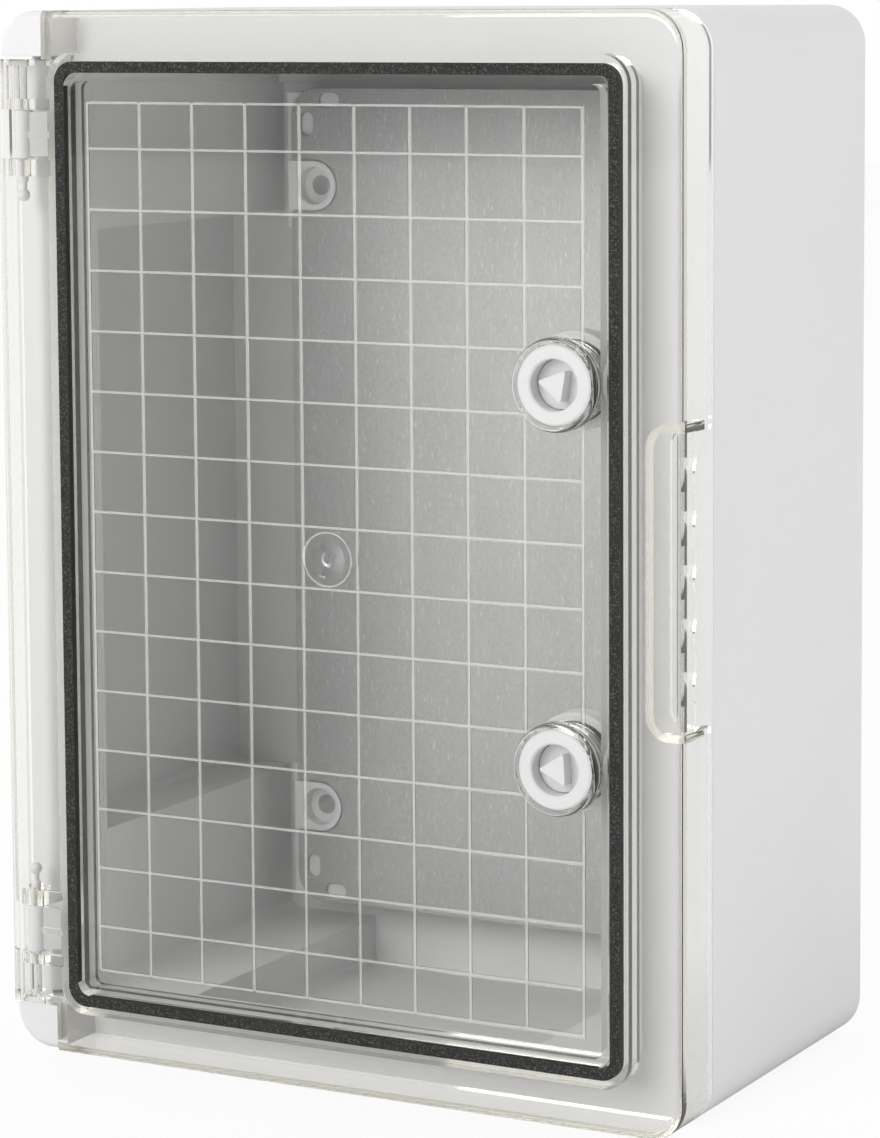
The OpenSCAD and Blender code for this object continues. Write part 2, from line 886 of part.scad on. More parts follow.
base_shell();
mounting_plate();
door_panel();
door_gasket();
upper_hinge_pin();
lower_hinge_pin();
lock_housing();  // upper_lock_housing
lock_seal();  // upper_lock_seal
lock_nut();  // upper_lock_nut
lock_spindle(drive_turn);  // upper_lock_spindle
lock_ring();  // upper_lock_ring
lock_cam();  // upper_lock_cam
lock_washer();  // upper_lock_washer
lock_screw();  // upper_lock_screw
lower() lock_housing();  // lower_lock_housing
lower() lock_seal();  // lower_lock_seal
lower() lock_nut();  // lower_lock_nut
lower() lock_spindle(drive_turn_low);  // lower_lock_spindle
lower() lock_ring();  // lower_lock_ring
lower() lock_cam();  // lower_lock_cam
lower() lock_washer();  // lower_lock_washer
lower() lock_screw();  // lower_lock_screw
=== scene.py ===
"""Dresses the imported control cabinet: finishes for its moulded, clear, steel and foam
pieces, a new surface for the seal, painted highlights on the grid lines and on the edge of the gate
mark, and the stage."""

import math

import bmesh
import bpy
import numpy as np
from bpy.props import FloatProperty, FloatVectorProperty, IntProperty, PointerProperty
from mathutils import Matrix, Vector


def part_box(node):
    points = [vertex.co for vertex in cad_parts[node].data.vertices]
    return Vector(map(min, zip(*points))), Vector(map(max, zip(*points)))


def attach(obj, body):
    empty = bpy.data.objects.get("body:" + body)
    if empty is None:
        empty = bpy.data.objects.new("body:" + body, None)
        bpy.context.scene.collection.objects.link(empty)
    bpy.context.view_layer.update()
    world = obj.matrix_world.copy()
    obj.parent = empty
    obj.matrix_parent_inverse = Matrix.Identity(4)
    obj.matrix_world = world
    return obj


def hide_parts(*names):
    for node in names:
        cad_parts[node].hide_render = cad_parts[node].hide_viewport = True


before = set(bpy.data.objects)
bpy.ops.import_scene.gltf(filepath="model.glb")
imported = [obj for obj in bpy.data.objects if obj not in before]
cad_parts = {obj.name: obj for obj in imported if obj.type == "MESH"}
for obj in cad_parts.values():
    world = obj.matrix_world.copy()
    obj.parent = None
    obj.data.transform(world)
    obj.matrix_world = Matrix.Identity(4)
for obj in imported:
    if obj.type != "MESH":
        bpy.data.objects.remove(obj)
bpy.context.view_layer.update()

bl_info = {
    "name": "Clear-door control cabinet",
    "version": (1, 0, 0),
    "blender": (4, 5, 0),
    "location": "3D View > Sidebar > Cabinet",
    "description": "Finishes and surfaces of a wall cabinet with a clear gridded door",
    "category": "Object",
}

MM = 0.001
SIDES = ("upper", "lower")
DOOR_LOW = np.array(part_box("door_panel")[0])
SEAL_LOW, SEAL_HIGH = (np.array(corner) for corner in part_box("door_gasket"))
SHELL_LOW = np.array(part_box("base_shell")[0])

# lines lie this far off the plastic under them, and rise this much at their middle
LINE_LIFT = 0.02 * MM
LINE_CROWN = 0.04 * MM
# a piece of a line shorter than this is left out
LINE_SHORTEST = 0.5 * MM
# the crown of the seal stays this far inside the plain gasket
SEAL_SHY = 0.1 * MM
# a ray that has turned more often than this goes straight through the door
CLEAR_TURNS = 5.5


def colour_prop(name, words, value):
    """A colour that a user may change."""
    return FloatVectorProperty(
        name=name, description=words, subtype="COLOR", size=3, min=0, max=1, default=value
    )


def length_prop(name, words, millimetres):
    """A length in metres, given here in millimetres."""
    return FloatProperty(
        name=name, description=words, unit="LENGTH", min=0, default=millimetres * MM, precision=5
    )


class CabinetColours(bpy.types.PropertyGroup):
    shell: colour_prop("Shell", "Moulded base", (0.795, 0.795, 0.80))
    white: colour_prop("White", "Locks and hinge pins", (0.75, 0.75, 0.75))
    steel: colour_prop("Steel", "Galvanised mounting plate", (0.45, 0.45, 0.455))
    foam: colour_prop("Foam", "Door seal", (0.024, 0.024, 0.024))
    rubber: colour_prop("Rubber", "Lock seals and O-rings", (0.03, 0.03, 0.03))
    zinc: colour_prop("Zinc", "Screws and washers", (0.62, 0.62, 0.64))
    # painted highlight: a milky white laid over the grid lines and the gate mark's edge for the
    # light they catch
    painted_highlight: colour_prop("Painted highlight", "Lines on the clear door", (0.93, 0.93, 0.92))
    clear_depth: colour_prop("Clear depth", "Colour of thick clear plastic", (0.94, 0.905, 0.71))


class CabinetSizes(bpy.types.PropertyGroup):
    seal_width: length_prop("Seal width", "Foam strip in its channel", 3.6)
    seal_dome: length_prop("Seal dome", "Height of the rounded face", 1.4)
    seal_radius: length_prop("Seal corner", "Corner radius at mid-strip", 4.8)
    seal_bond: length_prop("Seal bond", "Foam cast into the walls of the channel", 0.05)
    door_thickness: length_prop("Door thickness", "Clear plate of the door", 3)
    collar_height: length_prop("Collar height", "Lock collars in front of the door", 4.2)
    grid_pitch: length_prop("Grid pitch", "Spacing of the cut-out lines", 20)
    grid_line: length_prop("Grid line", "Width of a line", 0.8)
    grid_end: length_prop("Grid end", "Height of the end rows", 15)
    grid_height: length_prop("Grid height", "Height of a line on the door", 0.4)
    gate_diameter: length_prop("Gate mark", "Recess left by the moulding gate", 18)
    gate_depth: length_prop("Gate depth", "Depth of the gate recess", 0.4)
    # width of the ring painted as the gate mark's highlight
    gate_highlight_width: length_prop("Gate highlight", "Bright edge of the gate recess", 0.5)
    lock_x: length_prop("Lock place", "Locks from the middle, to the right", 83)
    lock_z: length_prop("Lock height", "Locks from mid-height", 60)
    boss_diameter: length_prop("Boss diameter", "Ribbed lock boss behind the door", 25.9)
    boss_gap: length_prop("Boss gap", "Between a lock boss and a line that ends there", 0.6)
    grid_columns: IntProperty(name="Grid columns", description="Columns", default=9, min=1)
    grid_rows: IntProperty(name="Grid rows", description="Full rows", default=13, min=1)


class CabinetStage(bpy.types.PropertyGroup):
    floor: colour_prop("Floor", "Plain pale floor", (0.92, 0.92, 0.92))
    world: FloatProperty(name="World", description="Even light from all round", default=0.95)
    front: FloatProperty(name="Front", description="Room in front of the door", default=0.14)
    key: FloatProperty(name="Key", description="Large lamp", subtype="POWER", default=26)
    fill: FloatProperty(name="Fill", description="Side lamp", subtype="POWER", default=5)


# meshes


def surface(name, points, wrap_rows=False, wrap_columns=False, sharp=35):
    """A mesh through a grid of points: each quad joins rows i, i+1 and columns j, j+1, and a
    wrapped side joins its last line to its first. Doubles at poles are merged."""
    points = np.asarray(points, float)
    rows, columns = points.shape[:2]
    i = np.arange(rows if wrap_rows else rows - 1)
    j = np.arange(columns if wrap_columns else columns - 1)
    i, j = np.meshgrid(i, j, indexing="ij")
    after_i, after_j = (i + 1) % rows, (j + 1) % columns
    row, after_row = i * columns, after_i * columns
    quads = np.stack([row + j, after_row + j, after_row + after_j, row + after_j], axis=-1)
    quads = quads.reshape(-1, 4)
    return finish_mesh(name, points.reshape(-1, 3), quads, sharp)


def finish_mesh(name, points, quads, sharp=35):
    """Points and quads as an object: doubles merged, normals outwards, smooth but for edges
    sharper than the given angle."""
    mesh = bpy.data.meshes.new(name)
    mesh.from_pydata(points.tolist(), [], quads.tolist())
    shape = bmesh.new()
    shape.from_mesh(mesh)
    bmesh.ops.remove_doubles(shape, verts=shape.verts, dist=2e-7)
    bmesh.ops.recalc_face_normals(shape, faces=shape.faces)
    shape.to_mesh(mesh)
    shape.free()
    mesh.shade_smooth()
    mesh.set_sharp_from_angle(angle=math.radians(sharp))
    piece = bpy.data.objects.new(name, mesh)
    bpy.context.scene.collection.objects.link(piece)
    return piece


def loop_path(half_x, half_z, radius, corner_steps=14, side_step=0.004):
    """A rounded rectangle in X and Z: points and outward normals, in order round the loop.
    Each corner is an arc of a quarter turn, each side evenly spaced points between arcs."""
    places, normals = [], []
    turns = np.arange(4) * math.pi / 2
    signs = np.array([[1, 1], [-1, 1], [-1, -1], [1, -1]])
    for turn, sign in zip(turns, signs):
        angle = turn + np.linspace(0, math.pi / 2, corner_steps)
        out = np.stack([np.cos(angle), np.sin(angle)], axis=1)
        arc = sign * np.array([half_x - radius, half_z - radius]) + radius * out
        side = 2 * ((half_x if turn in turns[::2] else half_z) - radius)
        count = max(int(side / side_step), 2)
        along = np.array([-math.sin(angle[-1]), math.cos(angle[-1])])
        run = np.linspace(0, side, count + 1)[1:-1, None]
        places += [arc, arc[-1] + run * along]
        normals += [out, np.repeat(out[-1:], count - 1, axis=0)]
    return np.vstack(places), np.vstack(normals)


def sweep(name, places, normals, profile, sharp=50):
    """A closed profile of (outward, Y) carried round a loop in X and Z: point = place +
    outward * normal, at Y."""
    x = places[:, None, 0] + normals[:, None, 0] * profile[None, :, 0]
    z = places[:, None, 1] + normals[:, None, 1] * profile[None, :, 0]
    y = np.broadcast_to(profile[None, :, 1], x.shape)
    return surface(name, np.stack([x, y, z], axis=-1), True, True, sharp)


# node helpers


def add(tree, kind, **values):
    """A node whose input defaults and plain settings come from values."""
    node = tree.nodes.new(kind)
    for key, value in values.items():
        socket = node.inputs.get(key.replace("_", " "))
        if socket is not None:
            socket.default_value = value
        else:
            setattr(node, key, value)
    return node


def link(tree, source, target):
    """Joins two sockets."""
    tree.links.new(source, target)


def ramp(tree, source, stops):
    """A colour ramp of grey stops (place, value) fed by source."""
    node = tree.nodes.new("ShaderNodeValToRGB")
    places = node.color_ramp.elements
    while len(places) < len(stops):
        places.new(0.5)
    for element, (place, value) in zip(places, stops):
        element.position = place
        element.color = (value, value, value, 1)
    link(tree, source, node.inputs["Fac"])
    return node.outputs["Color"]


def new_group(name, inputs, outputs):
    """An empty shader node group with its sockets, and its two end nodes."""
    tree = bpy.data.node_groups.new(name, "ShaderNodeTree")
    for label, kind, value in inputs:
        socket = tree.interface.new_socket(label, in_out="INPUT", socket_type=kind)
        socket.default_value = value
    for label, kind in outputs:
        tree.interface.new_socket(label, in_out="OUTPUT", socket_type=kind)
    return tree, tree.nodes.new("NodeGroupInput"), tree.nodes.new("NodeGroupOutput")


FLOAT, COLOUR = "NodeSocketFloat", "NodeSocketColor"


def moulded_group():
    """Moulded plastic: a slow drift of tone, a roughness that follows it, and a fine
    spark-eroded grain. Height is in units of the grain."""
    if "Moulded skin" in bpy.data.node_groups:
        return bpy.data.node_groups["Moulded skin"]
    tree, given, result = new_group(
        "Moulded skin",
        [
            ("Colour", COLOUR, (0.8, 0.8, 0.8, 1)),
            ("Drift", FLOAT, 0.03),
            ("Grain size", FLOAT, 1500.0),
            ("Roughness", FLOAT, 0.4),
            ("Roughness drift", FLOAT, 0.06),
        ],
        [("Colour", COLOUR), ("Roughness", FLOAT), ("Height", FLOAT)],
    )
    place = add(tree, "ShaderNodeTexCoord").outputs["Object"]
    slow = add(tree, "ShaderNodeTexNoise", Scale=14.0, Detail=3.0, Roughness=0.5)
    fine = add(tree, "ShaderNodeTexNoise", Detail=2.0, Roughness=0.6)
    link(tree, place, slow.inputs["Vector"])
    link(tree, place, fine.inputs["Vector"])
    link(tree, given.outputs["Grain size"], fine.inputs["Scale"])
    shift = add(tree, "ShaderNodeMath", operation="SUBTRACT")
    shift.inputs[1].default_value = 0.5
    link(tree, slow.outputs["Fac"], shift.inputs[0])
    depth = add(tree, "ShaderNodeMath", operation="MULTIPLY_ADD")
    link(tree, shift.outputs[0], depth.inputs[0])
    link(tree, given.outputs["Drift"], depth.inputs[1])
    depth.inputs[2].default_value = 1.0
    tone = add(tree, "ShaderNodeVectorMath", operation="SCALE")
    link(tree, given.outputs["Colour"], tone.inputs[0])
    link(tree, depth.outputs[0], tone.inputs["Scale"])
    link(tree, tone.outputs[0], result.inputs["Colour"])
    rough = add(tree, "ShaderNodeMath", operation="MULTIPLY_ADD")
    link(tree, shift.outputs[0], rough.inputs[0])
    link(tree, given.outputs["Roughness drift"], rough.inputs[1])
    link(tree, given.outputs["Roughness"], rough.inputs[2])
    link(tree, rough.outputs[0], result.inputs["Roughness"])
    link(tree, fine.outputs["Fac"], result.inputs["Height"])
    return tree


def steel_group():
    """Galvanised sheet: a fine rolled grain drawn out along Z, a slow drift of tone, and sparse
    bright dashes where the zinc is scuffed."""
    if "Zinc sheet" in bpy.data.node_groups:
        return bpy.data.node_groups["Zinc sheet"]
    tree, given, result = new_group(
        "Zinc sheet",
        [
            ("Colour", COLOUR, (0.5, 0.5, 0.5, 1)),
            ("Grain size", FLOAT, 1800.0),
            ("Contrast", FLOAT, 0.3),
            ("Scuffs", FLOAT, 0.3),
            ("Roughness", FLOAT, 0.45),
        ],
        [("Colour", COLOUR), ("Roughness", FLOAT), ("Height", FLOAT)],
    )
    place = add(tree, "ShaderNodeTexCoord").outputs["Object"]
    rolled = add(tree, "ShaderNodeMapping", Scale=(1.0, 1.0, 0.45))
    drawn = add(tree, "ShaderNodeMapping", Scale=(1.0, 1.0, 0.14))
    link(tree, place, rolled.inputs["Vector"])
    link(tree, place, drawn.inputs["Vector"])
    grain = add(tree, "ShaderNodeTexNoise", Detail=2.0, Roughness=0.7)
    scuff = add(tree, "ShaderNodeTexNoise", Detail=1.0, Roughness=0.5)
    drift = add(tree, "ShaderNodeTexNoise", Scale=22.0, Detail=3.0, Roughness=0.5)
    link(tree, rolled.outputs[0], grain.inputs["Vector"])
    link(tree, drawn.outputs[0], scuff.inputs["Vector"])
    link(tree, drawn.outputs[0], drift.inputs["Vector"])
    link(tree, given.outputs["Grain size"], grain.inputs["Scale"])
    link(tree, given.outputs["Grain size"], scuff.inputs["Scale"])
    both = add(tree, "ShaderNodeMath", operation="MULTIPLY_ADD")
    link(tree, drift.outputs["Fac"], both.inputs[0])
    both.inputs[1].default_value = 0.6
    link(tree, grain.outputs["Fac"], both.inputs[2])
    centred = add(tree, "ShaderNodeMath", operation="SUBTRACT")
    centred.inputs[1].default_value = 0.8
    link(tree, both.outputs[0], centred.inputs[0])
    depth = add(tree, "ShaderNodeMath", operation="MULTIPLY_ADD")
    link(tree, centred.outputs[0], depth.inputs[0])
    link(tree, given.outputs["Contrast"], depth.inputs[1])
    depth.inputs[2].default_value = 1.0
    mark = add(tree, "ShaderNodeMath", operation="MULTIPLY_ADD")
    link(tree, ramp(tree, scuff.outputs["Fac"], [(0.66, 0.0), (0.74, 1.0)]), mark.inputs[0])
    link(tree, given.outputs["Scuffs"], mark.inputs[1])
    link(tree, depth.outputs[0], mark.inputs[2])
    tone = add(tree, "ShaderNodeVectorMath", operation="SCALE")
    link(tree, given.outputs["Colour"], tone.inputs[0])
    link(tree, mark.outputs[0], tone.inputs["Scale"])
    link(tree, tone.outputs[0], result.inputs["Colour"])
    rough = add(tree, "ShaderNodeMath", operation="MULTIPLY_ADD")
    link(tree, centred.outputs[0], rough.inputs[0])
    rough.inputs[1].default_value = 0.1
    link(tree, given.outputs["Roughness"], rough.inputs[2])
    link(tree, rough.outputs[0], result.inputs["Roughness"])
    link(tree, both.outputs[0], result.inputs["Height"])
    return tree


def foam_group():
    """Cast foam: dark cells with pale specks between them, both from one noise."""
    if "Foam cells" in bpy.data.node_groups:
        return bpy.data.node_groups["Foam cells"]
    tree, given, result = new_group(
        "Foam cells",
        [("Colour", COLOUR, (0.03, 0.03, 0.03, 1)), ("Cell size", FLOAT, 1400.0)],
        [("Colour", COLOUR), ("Roughness", FLOAT), ("Height", FLOAT)],
    )
    place = add(tree, "ShaderNodeTexCoord").outputs["Object"]
    cell = add(tree, "ShaderNodeTexNoise", Detail=3.0, Roughness=0.65)
    link(tree, place, cell.inputs["Vector"])
    link(tree, given.outputs["Cell size"], cell.inputs["Scale"])
    bright = ramp(tree, cell.outputs["Fac"], [(0.4, 0.35), (0.52, 1.0), (0.6, 2.2), (0.68, 7.0)])
    tone = add(tree, "ShaderNodeVectorMath", operation="MULTIPLY")
    link(tree, given.outputs["Colour"], tone.inputs[0])
    link(tree, bright, tone.inputs[1])
    link(tree, tone.outputs[0], result.inputs["Colour"])
    rough = add(tree, "ShaderNodeMath", operation="MULTIPLY_ADD")
    link(tree, cell.outputs["Fac"], rough.inputs[0])
    rough.inputs[1].default_value = 0.2
    rough.inputs[2].default_value = 0.6
    link(tree, rough.outputs[0], result.inputs["Roughness"])
    link(tree, cell.outputs["Fac"], result.inputs["Height"])
    return tree


def new_material(name):
    """A material with a Principled BSDF and its output."""
    material = bpy.data.materials.new(name)
    material.use_nodes = True
    tree = material.node_tree
    tree.nodes.clear()
    shader = tree.nodes.new("ShaderNodeBsdfPrincipled")
    output = tree.nodes.new("ShaderNodeOutputMaterial")
    link(tree, shader.outputs[0], output.inputs["Surface"])
    return material, tree, shader, output


def dress(tree, shader, group, height, edge, **values):
    """Feeds a shader from a skin group: colour, roughness and a bump of that height in metres
    over edges softened by a small radius."""
    skin = tree.nodes.new("ShaderNodeGroup")
    skin.node_tree = group
    for key, value in values.items():
        skin.inputs[key.replace("_", " ")].default_value = value
    bump = add(tree, "ShaderNodeBump", Strength=1.0, Distance=height)
    link(tree, skin.outputs["Height"], bump.inputs["Height"])
    if edge:
        soft = add(tree, "ShaderNodeBevel", Radius=edge)
        soft.samples = 6
        link(tree, soft.outputs[0], bump.inputs["Normal"])
    link(tree, skin.outputs["Colour"], shader.inputs["Base Color"])
    link(tree, skin.outputs["Roughness"], shader.inputs["Roughness"])
    link(tree, bump.outputs[0], shader.inputs["Normal"])


def opaque(colour):
    """A colour property as four numbers."""
    return (*colour, 1.0)


def shell_finish(colours):
    """Satin white moulding of the base."""
    material, tree, shader, _ = new_material("Moulded shell")
    dress(
        tree, shader, moulded_group(), height=0.04 * MM, edge=0.5 * MM,
        Colour=opaque(colours.shell), Drift=0.05, Grain_size=1600.0,
        Roughness=0.42, Roughness_drift=0.10,
    )
    shader.inputs["Specular IOR Level"].default_value = 0.45
    return material


def white_finish(colours):
    """Smoother white of the locks and hinge pins."""
    material, tree, shader, _ = new_material("White fittings")
    dress(
        tree, shader, moulded_group(), height=0.015 * MM, edge=0.3 * MM,
        Colour=opaque(colours.white), Drift=0.05, Grain_size=2600.0,
        Roughness=0.32, Roughness_drift=0.12,
    )
    return material


def rubber_finish(colours):
    """Black rubber of the small seals."""
    material, tree, shader, _ = new_material("Black rubber")
    dress(
        tree, shader, moulded_group(), height=0.02 * MM, edge=0,
        Colour=opaque(colours.rubber), Drift=0.4, Grain_size=3000.0,
        Roughness=0.62, Roughness_drift=0.15,
    )
    return material


def steel_finish(colours):
    """Galvanised sheet of the mounting plate."""
    material, tree, shader, _ = new_material("Galvanised plate")
    dress(
        tree, shader, steel_group(), height=0.01 * MM, edge=0.2 * MM,
        Colour=opaque(colours.steel), Grain_size=1800.0, Contrast=0.5, Scuffs=0.3, Roughness=0.46,
    )
    shader.inputs["Metallic"].default_value = 0.6
    return material


def zinc_finish(colours):
    """Zinc plate of the cam screws and washers."""
    material, tree, shader, _ = new_material("Zinc plated")
    dress(
        tree, shader, steel_group(), height=0.01 * MM, edge=0.2 * MM,
        Colour=opaque(colours.zinc), Grain_size=4000.0, Contrast=0.2, Scuffs=0.1, Roughness=0.3,
    )
    shader.inputs["Metallic"].default_value = 1.0
    return material


def foam_finish(colours):
    """Dark cast foam of the door seal."""
    material, tree, shader, _ = new_material("Cast foam")
    dress(
        tree, shader, foam_group(), height=0.2 * MM, edge=0,
        Colour=opaque(colours.foam), Cell_size=1900.0,
    )
    shader.inputs["Specular IOR Level"].default_value = 0.3
    return material


def clear_finish(colours):
    """Clear polycarbonate: glass with a cream tint in its depth. Rays from lamps and rough
    surfaces pass straight through, so that the inside is lit, and so do rays that have been
    turned back and forth inside it too often."""
    material, tree, shader, output = new_material("Clear polycarbonate")
    shader.inputs["Base Color"].default_value = (1, 1, 1, 1)
    shader.inputs["Transmission Weight"].default_value = 1.0
    shader.inputs["IOR"].default_value = 1.58
    skin = tree.nodes.new("ShaderNodeGroup")
    skin.node_tree = moulded_group()
    skin.inputs["Roughness"].default_value = 0.02
    skin.inputs["Roughness drift"].default_value = 0.04
    link(tree, skin.outputs["Roughness"], shader.inputs["Roughness"])
    path = tree.nodes.new("ShaderNodeLightPath")
    lit = add(tree, "ShaderNodeMath", operation="MAXIMUM")
    link(tree, path.outputs["Is Shadow Ray"], lit.inputs[0])
    link(tree, path.outputs["Is Diffuse Ray"], lit.inputs[1])
    trapped = add(tree, "ShaderNodeMath", operation="GREATER_THAN")
    trapped.inputs[1].default_value = CLEAR_TURNS
    link(tree, path.outputs["Ray Depth"], trapped.inputs[0])
    either = add(tree, "ShaderNodeMath", operation="MAXIMUM")
    link(tree, lit.outputs[0], either.inputs[0])
    link(tree, trapped.outputs[0], either.inputs[1])
    through = tree.nodes.new("ShaderNodeBsdfTransparent")
    through.inputs["Color"].default_value = (0.98, 0.98, 0.985, 1)
    mix = tree.nodes.new("ShaderNodeMixShader")
    link(tree, either.outputs[0], mix.inputs[0])
    link(tree, shader.outputs[0], mix.inputs[1])
    link(tree, through.outputs[0], mix.inputs[2])
    link(tree, mix.outputs[0], output.inputs["Surface"])
    depth = tree.nodes.new("ShaderNodeVolumeAbsorption")
    depth.inputs["Color"].default_value = opaque(colours.clear_depth)
    depth.inputs["Density"].default_value = 22.0
    link(tree, depth.outputs[0], output.inputs["Volume"])
    return material


def painted_highlight_finish(colours):
    """Milky white strips over the grid lines and the edge of the gate mark: a painted highlight
    that stands in for the light their ridges and edges catch.
    """
    material, tree, shader, _ = new_material("Painted highlighted line")
    dress(
        tree, shader, moulded_group(), height=0.03 * MM, edge=0,
        Colour=opaque(colours.painted_highlight), Drift=0.04, Grain_size=2400.0,
        Roughness=0.55, Roughness_drift=0.1,
    )
    shader.inputs["Alpha"].default_value = 0.42
    return material


def paint(node, material):
    """Gives a CAD node one finish."""
    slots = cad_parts[node].data.materials
    slots.clear()
    slots.append(material)


def place_piece(piece, material, body, slot, *nodes):
    """Finishes a new piece: its material, the body it rides on and what it stands for. The slot is
    not used.
    """
    piece.data.materials.append(material)
    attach(piece, body)
    if nodes:
        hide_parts(*nodes)


class CABINET_OT_shell(bpy.types.Operator):
    """Finishes the moulded base shell"""

    bl_idname = "cabinet.shell"
    bl_label = "Base shell"

    def execute(self, context):
        paint("base_shell", shell_finish(context.scene.cabinet_colours))
        return {"FINISHED"}


class CABINET_OT_plate(bpy.types.Operator):
    """Finishes the galvanised mounting plate"""

    bl_idname = "cabinet.plate"
    bl_label = "Mounting plate"

    def execute(self, context):
        paint("mounting_plate", steel_finish(context.scene.cabinet_colours))
        return {"FINISHED"}


class CABINET_OT_door(bpy.types.Operator):
    """Finishes the clear door and lays painted highlights on its grid lines and on the edge of its
    gate mark
    """

    bl_idname = "cabinet.door"
    bl_label = "Clear door"

    def execute(self, context):
        sizes = context.scene.cabinet_sizes
        paint("door_panel", clear_finish(context.scene.cabinet_colours))
        # white strips over the grid ridges and the gate mark's edge are painted highlights
        painted_highlight = painted_highlight_finish(context.scene.cabinet_colours)
        place_piece(grid_highlight_lines(sizes), painted_highlight, "door", "clear")
        place_piece(gate_highlight_ring(sizes), painted_highlight, "door", "clear")
        return {"FINISHED"}


def door_front(sizes):
    """Y of the door's front face, behind the lock collars."""
    return DOOR_LOW[1] + sizes.collar_height


def trimmed(across, low, high, across_gaps, along_gaps, radius):
    """A line at across from low to high, cut where it passes within radius of a point."""
    runs = [(low, high)]
    for a, b in zip(across_gaps, along_gaps):
        off = abs(across - a)
        if off < radius:
            half = math.sqrt(radius**2 - off**2)
            cut = []
            for start, end in runs:
                cut += [(start, min(end, b - half)), (max(start, b + half), end)]
            runs = [(s, e) for s, e in cut if e - s > LINE_SHORTEST]
    return runs


def grid_highlight_lines(sizes):
    """Painted highlights over the grid lines: a low crowned white strip over each ridge, standing
    in for the light its edges catch, with height h * (1 - (2u)^4) across the width u, from -1/2 to
    1/2. Level lines stop at upright ones."""
    pitch, width = sizes.grid_pitch, sizes.grid_line
    half_x = sizes.grid_columns * pitch / 2
    half_z = sizes.grid_rows * pitch / 2 + sizes.grid_end
    uprights = -half_x + pitch * np.arange(sizes.grid_columns + 1)
    levels = np.concatenate(
        [[-half_z], pitch * (np.arange(sizes.grid_rows + 1) - sizes.grid_rows / 2), [half_z]]
    )
    lock_z = np.array([-sizes.lock_z, sizes.lock_z])
    lock_x = np.array([sizes.lock_x, sizes.lock_x])
    clear = sizes.boss_diameter / 2 + sizes.boss_gap
    runs = []
    for x in uprights:
        runs += [(x, a, x, b) for a, b in trimmed(x, -half_z, half_z, lock_x, lock_z, clear)]
    for z in levels:
        for x in uprights[:-1]:
            low, high = x + width / 2, x + pitch - width / 2
            runs += [(a, z, b, z) for a, b in trimmed(z, low, high, lock_z, lock_x, clear)]
    runs = np.array(runs)
    ends = runs.reshape(-1, 2, 2)
    along = ends[:, 1] - ends[:, 0]
    side = np.stack([-along[:, 1], along[:, 0]], axis=1) / np.linalg.norm(along, axis=1)[:, None]
    u = np.linspace(-0.5, 0.5, 7)
    rise = (1 - (2 * u) ** 4) * LINE_CROWN
    flat = ends[:, :, None, :] + side[:, None, None, :] * (u * width)[None, None, :, None]
    back = door_front(sizes) + sizes.door_thickness + sizes.grid_height + LINE_LIFT
    y = np.broadcast_to(back + rise, flat.shape[:3])
    points = np.stack([flat[..., 0], y, flat[..., 1]], axis=-1)
    count, columns = len(runs), len(u)
    base = (np.arange(count) * 2 * columns)[:, None]
    j = np.arange(columns - 1)[None, :]
    quads = np.stack(
        [base + j, base + j + 1, base + columns + j + 1, base + columns + j], axis=-1
    ).reshape(-1, 4)
    return finish_mesh("door_grid_highlight_lines", points.reshape(-1, 3), quads)


def gate_highlight_ring(sizes):
    """A painted highlight on the edge of the gate mark: a flat white ring on the floor of the
    recess, between the radii
    R - w and R - w / 20, all in mid-door."""
    turn = np.linspace(0, 2 * math.pi, 96, endpoint=False)
    outer = sizes.gate_diameter / 2
    radius = outer - sizes.gate_highlight_width * np.array([1, 0.05])
    x = np.cos(turn)[:, None] * radius
    z = np.sin(turn)[:, None] * radius
    y = np.full_like(x, door_front(sizes) + sizes.gate_depth - LINE_LIFT)
    return surface("door_gate_highlight_ring", np.stack([x, y, z], axis=-1), wrap_rows=True)


class CABINET_OT_seal(bpy.types.Operator):
    """Casts the foam seal into its channel in the door"""

    bl_idname = "cabinet.seal"
    bl_label = "Door seal"

    def execute(self, context):
        sizes = context.scene.cabinet_sizes
        half = sizes.seal_width / 2 + sizes.seal_bond
        mid_x = SEAL_HIGH[0] - sizes.seal_width / 2
        mid_z = SEAL_HIGH[2] - sizes.seal_width / 2
        places, normals = loop_path(mid_x, mid_z, sizes.seal_radius)
        front, back = SEAL_LOW[1] - sizes.seal_bond, SEAL_HIGH[1] - SEAL_SHY
        # from the front face round the crown: half circle flattened to the dome height
        angle = np.linspace(math.pi, 0, 17)
        crown = np.stack(
            [half * np.cos(angle), back - sizes.seal_dome * (1 - np.sin(angle))], axis=1
        )
        profile = np.vstack([[[half, front], [-half, front]], crown])
        piece = sweep("door_seal_foam", places, normals, profile)
        foam = foam_finish(context.scene.cabinet_colours)
        place_piece(piece, foam, "door", "foam", "door_gasket")
        return {"FINISHED"}


class CABINET_OT_locks(bpy.types.Operator):
    """Finishes both cam locks"""

    bl_idname = "cabinet.locks"
    bl_label = "Locks"

    def execute(self, context):
        colours = context.scene.cabinet_colours
        white, rubber, zinc = white_finish(colours), rubber_finish(colours), zinc_finish(colours)
        for side in SIDES:
            for part in ("housing", "nut", "spindle", "cam"):
                paint(f"{side}_lock_{part}", white)
            for part in ("seal", "ring"):
                paint(f"{side}_lock_{part}", rubber)
            for part in ("washer", "screw"):
                paint(f"{side}_lock_{part}", zinc)
        return {"FINISHED"}


class CABINET_OT_hinges(bpy.types.Operator):
    """Finishes the two hinge pins"""

    bl_idname = "cabinet.hinges"
    bl_label = "Hinge pins"

    def execute(self, context):
        white = white_finish(context.scene.cabinet_colours)
        for side in SIDES:
            paint(f"{side}_hinge_pin", white)
        return {"FINISHED"}


